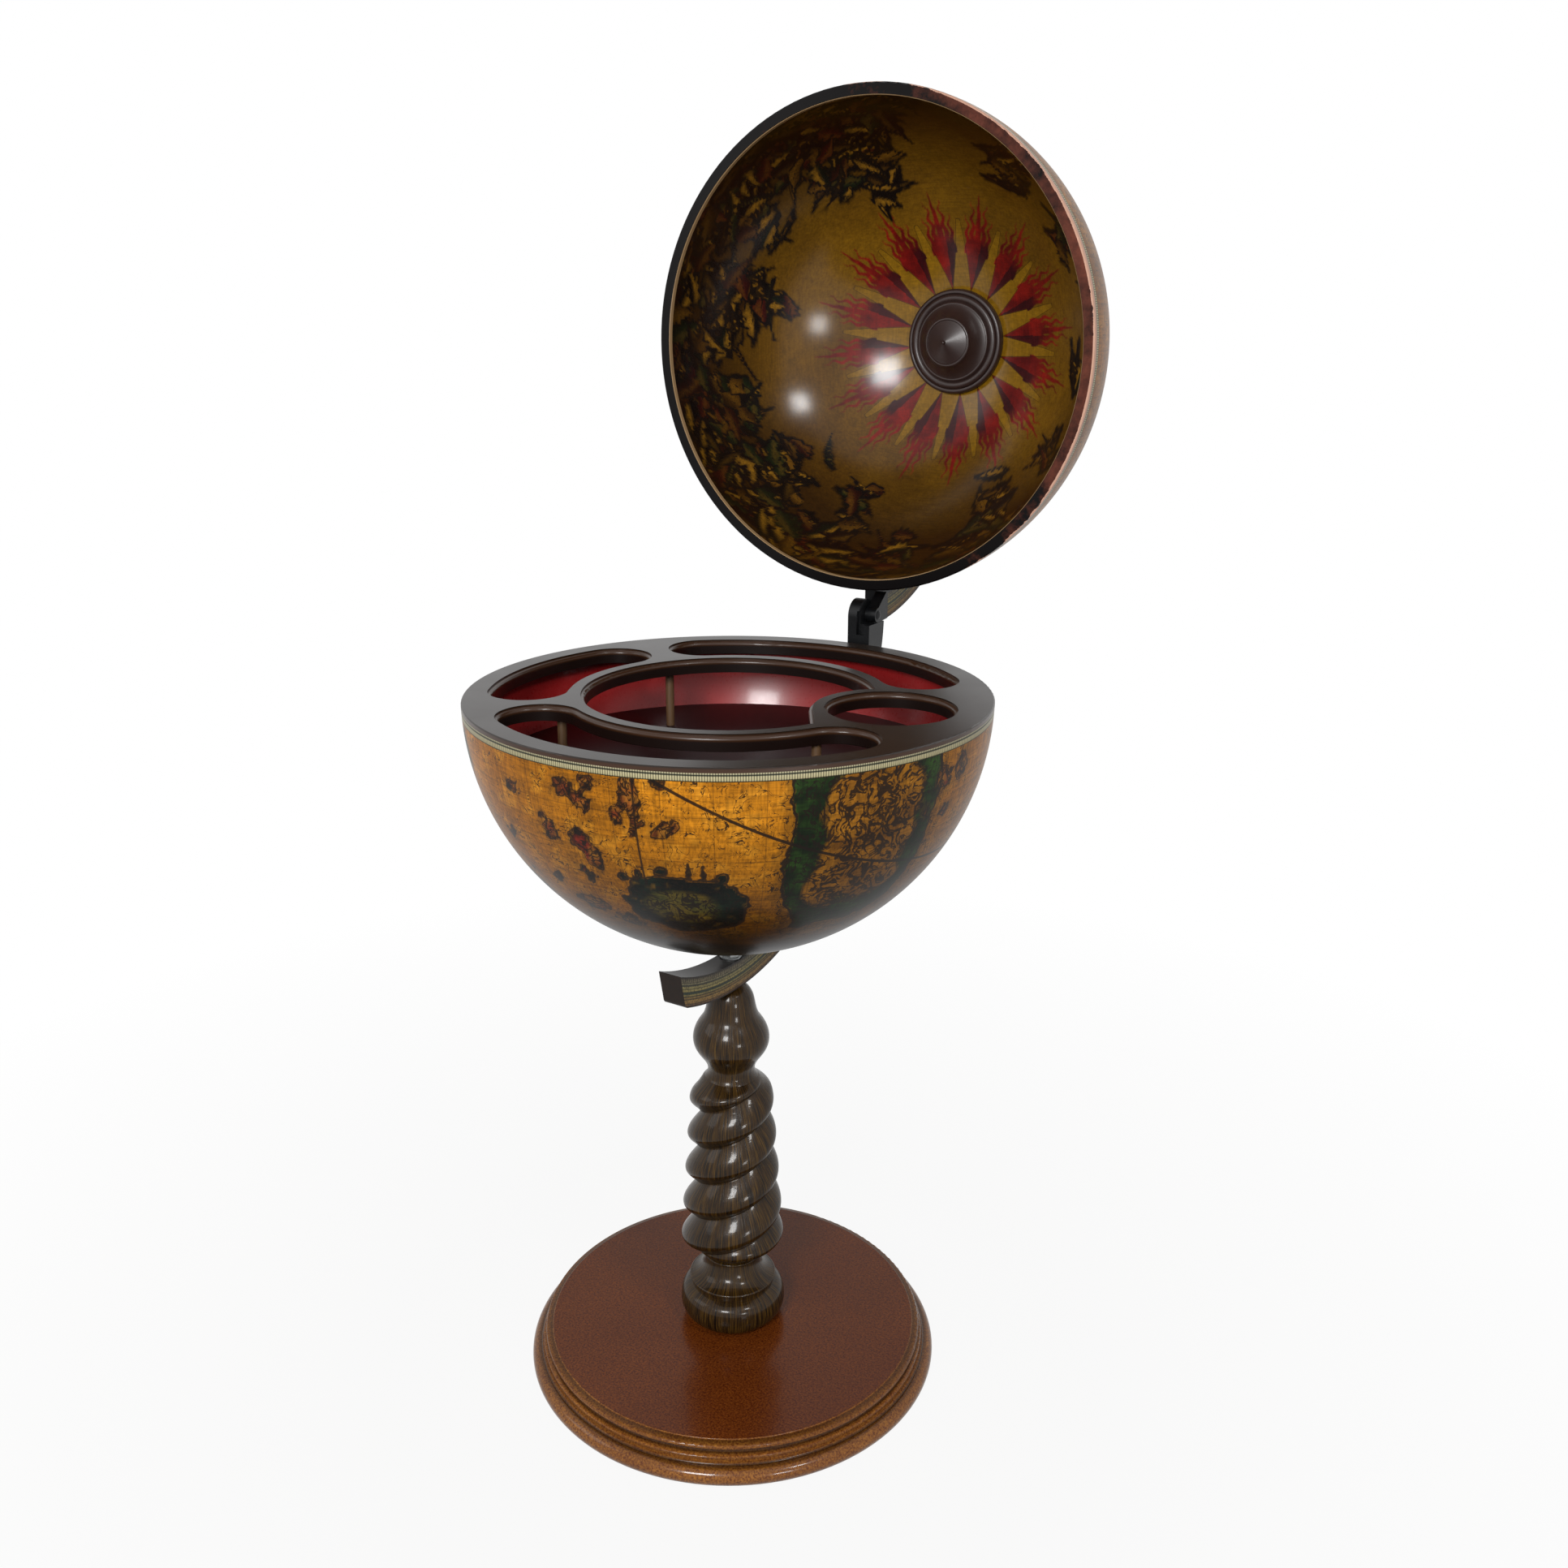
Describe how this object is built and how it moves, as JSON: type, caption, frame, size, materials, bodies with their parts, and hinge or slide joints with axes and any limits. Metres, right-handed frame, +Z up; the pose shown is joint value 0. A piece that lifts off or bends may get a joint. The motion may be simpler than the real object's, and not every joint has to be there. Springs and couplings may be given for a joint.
{
  "type": "pedestal globe bar",
  "caption": "Floor-standing globe bar: twist-turned column on a moulded round base, a bottle bowl with a pocketed tray, and a hinged upper half globe as its lid.",
  "frame": {"origin": "middle of the felt face that the base stands on, on the column's axis", "axes": "+Z up the column, +Y from the column to the lid's hinge, +X to the right of someone facing the hinge"},
  "size_m": [0.3999, 0.6486, 1.0343],
  "materials": {
    "base_stained_wood": "satin",
    "column_stained_wood": "satin",
    "meridian_wood": "satin",
    "map_covered_shell": "gloss",
    "tray_wood": "satin",
    "floor_wood": "satin",
    "post_wood": "satin",
    "block_wood": "matte",
    "rim_wood": "satin",
    "boss_wood": "satin",
    "black_steel": "satin",
    "plain_steel": "brushed",
    "bush_brass": "satin",
    "base_felt": "matte"
  },
  "bodies": {
    "stand": {"base_disc": "base_stained_wood", "base_felt": "base_felt", "base_washer": "plain_steel", "base_nut": "plain_steel", "tie_rod": "plain_steel", "column": "column_stained_wood", "lower_meridian": "meridian_wood", "clamp_washer": "plain_steel", "clamp_nut": "plain_steel", "pole_sleeve": "black_steel", "glide_washer": "bush_brass", "lock_washer": "plain_steel", "lock_nut": "plain_steel", "hinge_bracket": "black_steel", "bracket_screws": "black_steel", "hinge_pin": "black_steel"},
    "bowl": {"bowl_shell": "map_covered_shell", "bowl_pole_block": "block_wood", "bowl_bush": "bush_brass", "bottle_tray": "tray_wood", "tray_posts": "post_wood", "bottle_floor": "floor_wood", "post_screws": "plain_steel"},
    "lid_arm": {"upper_meridian": "meridian_wood", "hinge_leaf": "black_steel", "leaf_screws": "black_steel", "pivot_bolt": "plain_steel", "upper_clamp_washer": "plain_steel", "upper_clamp_nut": "plain_steel", "upper_pole_sleeve": "black_steel", "upper_glide_washer": "bush_brass", "upper_lock_washer": "plain_steel", "upper_lock_nut": "plain_steel"},
    "lid": {"lid_shell": "map_covered_shell", "lid_rim": "rim_wood", "lid_pole_block": "block_wood", "lid_bush": "bush_brass", "lid_boss": "boss_wood"}
  },
  "joints": [
    {"name": "lid_hinge", "type": "hinge", "parent": "stand", "child": "lid_arm", "pos_m": [0, 0.225, 0.6097], "axis": [1, 0, 0], "range_deg": [0, 89]},
    {"name": "bowl_spin", "type": "hinge", "parent": "stand", "child": "bowl", "pos_m": [0, 0, 0.5885], "axis": [0, 0, 1], "continuous": true},
    {"name": "lid_spin", "type": "hinge", "parent": "lid_arm", "child": "lid", "pos_m": [0, 0.20018, 0.8343], "axis": [0, 0.9998, 0.0175], "continuous": true}
  ]
}
